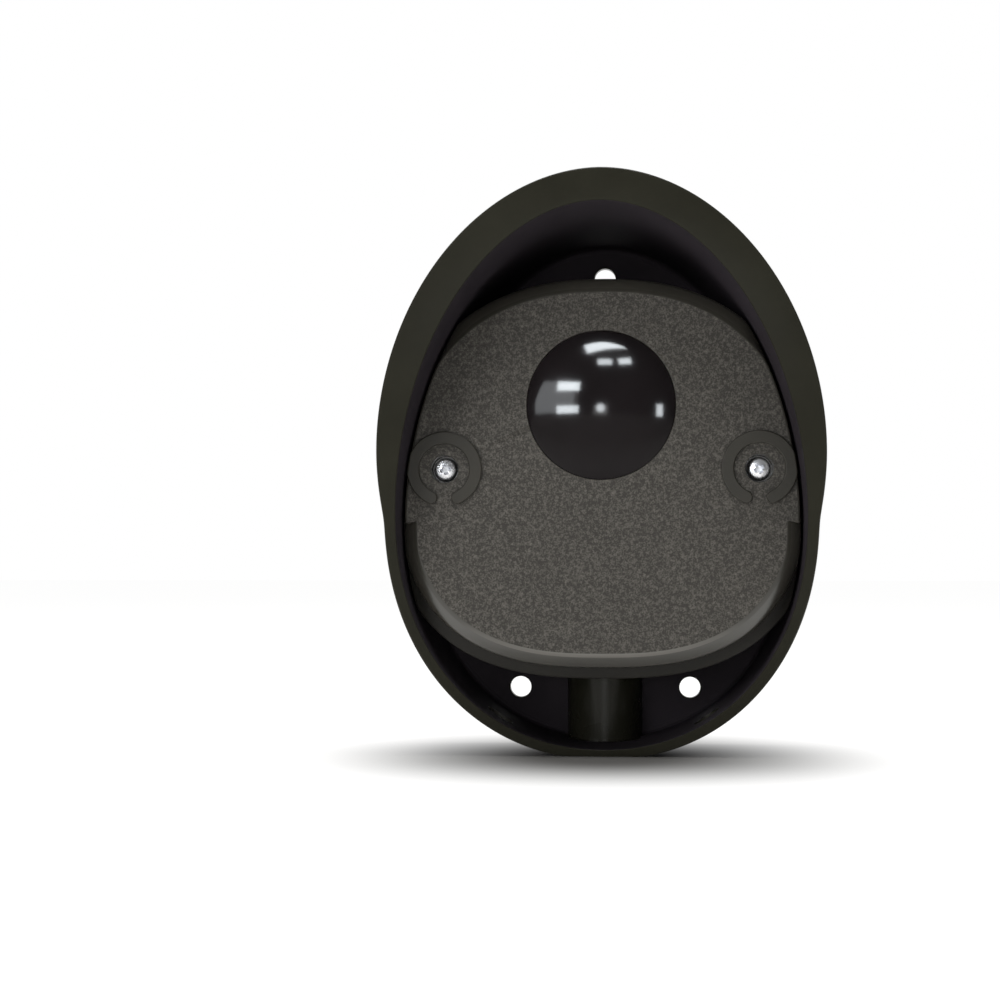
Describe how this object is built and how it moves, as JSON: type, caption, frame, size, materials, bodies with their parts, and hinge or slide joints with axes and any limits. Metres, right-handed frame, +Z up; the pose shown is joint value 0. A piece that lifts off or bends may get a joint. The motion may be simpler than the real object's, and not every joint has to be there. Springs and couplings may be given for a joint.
{
  "type": "gate safety photocell",
  "caption": "Hooded oval photocell for a powered gate: sealed housing with a dome window and a swivelling infrared eye, fixed to a wall by screws through its back.",
  "frame": {"origin": "middle of the bounding box at the flat foot of the hood, in line with the dome window", "axes": "+Z up, the window looks along -Y, the wall side is +Y, +X to the right seen from the front"},
  "size_m": [0.1002, 0.068, 0.133],
  "materials": {
    "hood_plastic": "satin black, moulded",
    "housing_plastic": "matte",
    "cover_plastic": "fine spark-eroded grain on the face",
    "window_plastic": "polished, dark, clear to infrared",
    "optic_plastic": "matte",
    "clear_lens": "polished, clear",
    "zinc_steel": "bright zinc plated",
    "brass_metal": "plain",
    "black_rubber": "matte",
    "grey_rubber": "matte",
    "board_green": "solder resist",
    "terminal_green": "moulded",
    "relay_blue": "moulded",
    "can_metal": "sleeved can",
    "chip_black": "moulded",
    "led_red": "clear tinted",
    "white_plastic": "moulded"
  },
  "bodies": {
    "housing": {"hood": "hood_plastic", "base_housing": "housing_plastic", "base_screws": "zinc_steel", "cable_grommet": "black_rubber", "threaded_inserts": "brass_metal", "cover_gasket": "grey_rubber", "circuit_board": "board_green", "board_screws": "zinc_steel", "terminal_block": "terminal_green", "terminal_screws": "zinc_steel", "relay": "relay_blue", "capacitors": "can_metal", "control_chip": "chip_black", "status_led": "led_red", "trimmer_body": "relay_blue", "jumper_pins": "brass_metal", "optic_bracket": "optic_plastic"},
    "cover": {"front_cover": "cover_plastic", "dome_window": "window_plastic", "window_seal": "black_rubber", "window_retainer": "optic_plastic", "retainer_screws": "zinc_steel", "screw_seals": "black_rubber"},
    "left_screw": {"cover_screw_left": "zinc_steel"},
    "right_screw": {"cover_screw_right": "zinc_steel"},
    "yoke": {"swivel_yoke": "optic_plastic"},
    "eye": {"eye_barrel": "optic_plastic", "focus_lens": "clear_lens", "infrared_diode": "window_plastic", "eye_board": "board_green"},
    "trimmer": {"trimmer_rotor": "white_plastic"},
    "jumper": {"mode_jumper": "chip_black"}
  },
  "joints": [
    {"name": "cover_pull", "type": "slide", "parent": "housing", "child": "cover", "axis": [0, -1, 0], "range_m": [0, 0.06]},
    {"name": "left_screw_turn", "type": "hinge", "parent": "cover", "child": "left_screw", "pos_m": [-0.0361, -0.0125, 0.0676], "axis": [0, -1, 0], "continuous": true},
    {"name": "right_screw_turn", "type": "hinge", "parent": "cover", "child": "right_screw", "pos_m": [0.0361, -0.0125, 0.0676], "axis": [0, -1, 0], "continuous": true},
    {"name": "optic_pan", "type": "hinge", "parent": "housing", "child": "yoke", "pos_m": [0, -0.005, 0.0822], "axis": [0, 0, 1], "range_deg": [-18, 18]},
    {"name": "optic_tilt", "type": "hinge", "parent": "yoke", "child": "eye", "pos_m": [0, -0.005, 0.0822], "axis": [1, 0, 0], "range_deg": [-18, 18]},
    {"name": "trimmer_turn", "type": "hinge", "parent": "housing", "child": "trimmer", "pos_m": [-0.02, 0.0068, 0.065], "axis": [0, -1, 0], "range_deg": [-135, 135]},
    {"name": "jumper_pull", "type": "slide", "parent": "housing", "child": "jumper", "axis": [0, -1, 0], "range_m": [0, 0.008]}
  ]
}
